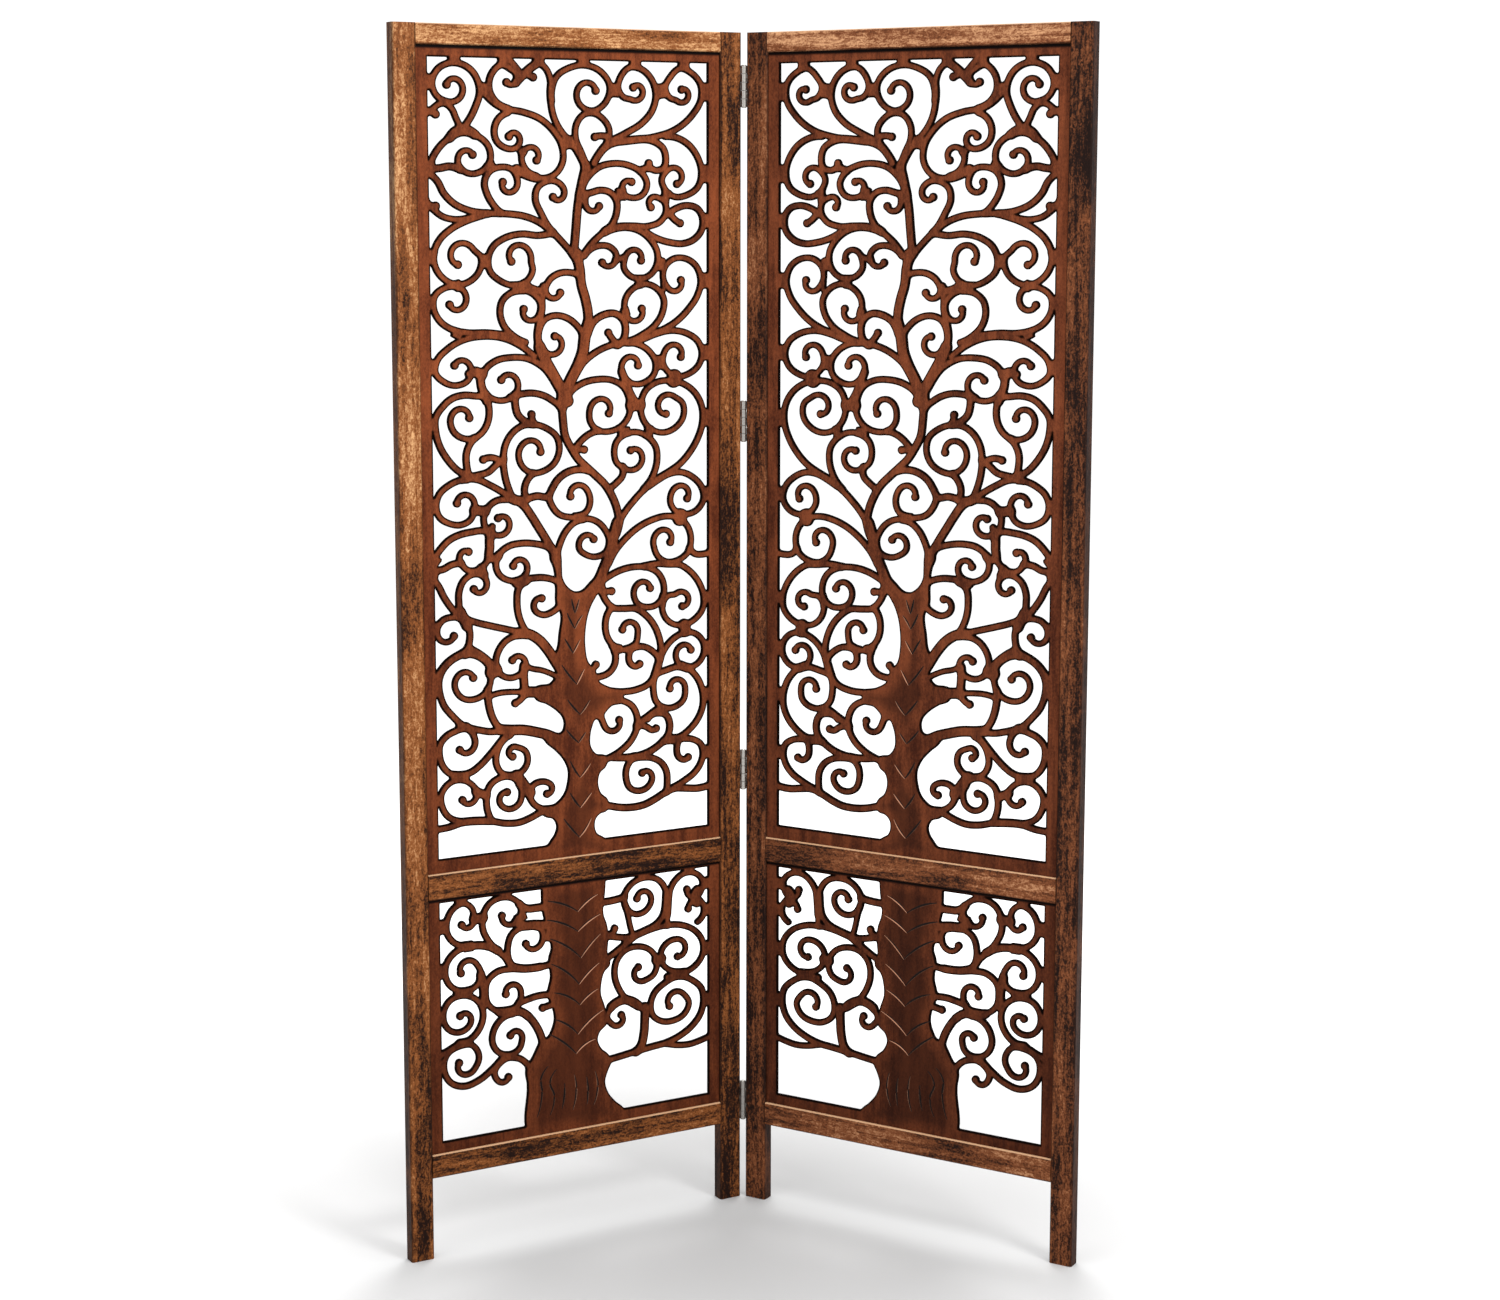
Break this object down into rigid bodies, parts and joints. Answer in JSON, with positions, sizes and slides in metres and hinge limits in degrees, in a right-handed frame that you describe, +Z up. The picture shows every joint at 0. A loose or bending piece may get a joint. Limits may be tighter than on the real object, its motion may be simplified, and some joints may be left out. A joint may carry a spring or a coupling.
{
  "type": "folding screen",
  "caption": "Two-panel folding wooden screen with pierced tree-of-life jali boards in framed panels, joined by butt hinges.",
  "frame": {"origin": "on the floor, below the middle of the bounding box at rest", "axes": "+Z up; -Y out of the open side of the V, towards a viewer; +X towards the right panel"},
  "size_m": [1.0062, 0.2996, 1.83],
  "materials": {
    "frame_wood": "satin, mottled and burnt",
    "board_wood": "satin",
    "steel": "brushed"
  },
  "bodies": {
    "left_panel": {"left_outer_stile": "frame_wood", "left_hinge_stile": "frame_wood", "left_upper_jali": "board_wood", "left_lower_jali": "board_wood", "left_top_rail": "frame_wood", "left_mid_rail": "frame_wood", "left_bottom_rail": "frame_wood", "hinge_1_left_leaf": "steel", "hinge_1_pin": "steel", "hinge_2_left_leaf": "steel", "hinge_2_pin": "steel", "hinge_3_left_leaf": "steel", "hinge_3_pin": "steel", "hinge_4_left_leaf": "steel", "hinge_4_pin": "steel"},
    "right_panel": {"right_outer_stile": "frame_wood", "right_hinge_stile": "frame_wood", "right_upper_jali": "board_wood", "right_lower_jali": "board_wood", "right_top_rail": "frame_wood", "right_mid_rail": "frame_wood", "right_bottom_rail": "frame_wood", "hinge_1_right_leaf": "steel", "hinge_2_right_leaf": "steel", "hinge_3_right_leaf": "steel", "hinge_4_right_leaf": "steel"}
  },
  "joints": [
    {"name": "fold", "type": "hinge", "parent": "left_panel", "child": "right_panel", "pos_m": [0, 0.13159, 0], "axis": [0, 0, 1], "range_deg": [-120, 70]}
  ]
}
